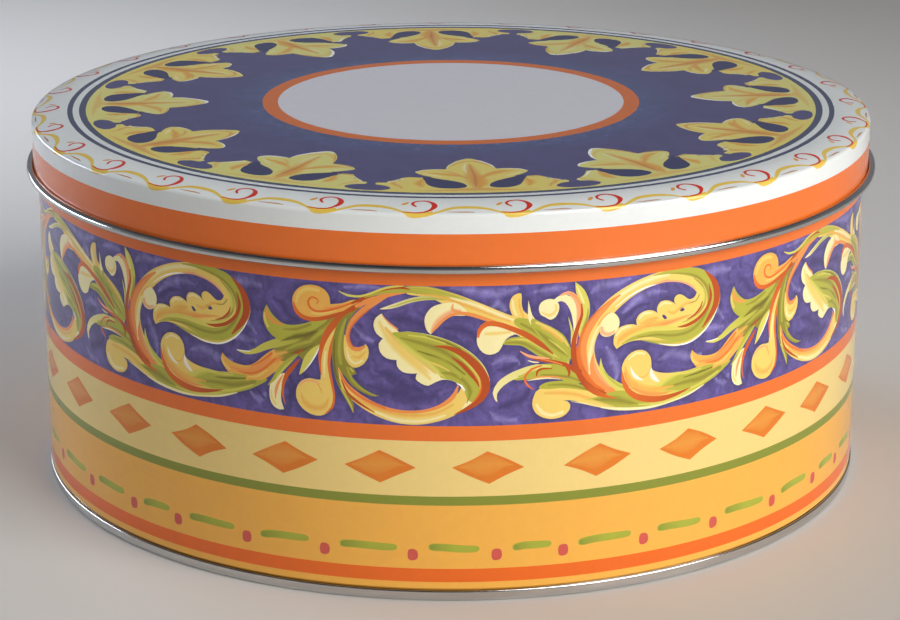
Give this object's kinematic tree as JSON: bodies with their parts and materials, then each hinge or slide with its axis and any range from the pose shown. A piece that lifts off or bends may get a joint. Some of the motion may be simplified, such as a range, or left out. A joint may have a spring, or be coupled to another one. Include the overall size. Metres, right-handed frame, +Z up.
{
  "type": "storage tin",
  "caption": "Round tinplate storage tin with a slip lid: flat lid with a soft shoulder and a rolled curl, straight printed wall, seamed-on raised base.",
  "frame": {"origin": "centre of the surface that the tin stands on", "axes": "+Z up along the tin's round axis, -Y towards the viewer, the wall's side seam at +Y"},
  "size_m": [0.2566, 0.2566, 0.11],
  "materials": {
    "printed_lid": "gloss varnished print on tinplate",
    "printed_wall": "gloss varnished print on tinplate",
    "bare_tinplate": "bright bare tinplate"
  },
  "bodies": {
    "tin": {"body_wall": "printed_wall", "base": "bare_tinplate"},
    "lid": {"lid": "printed_lid"}
  },
  "joints": [
    {"name": "lid_lift", "type": "slide", "parent": "tin", "child": "lid", "axis": [0, 0, 1], "range_m": [0, 0.05]}
  ]
}
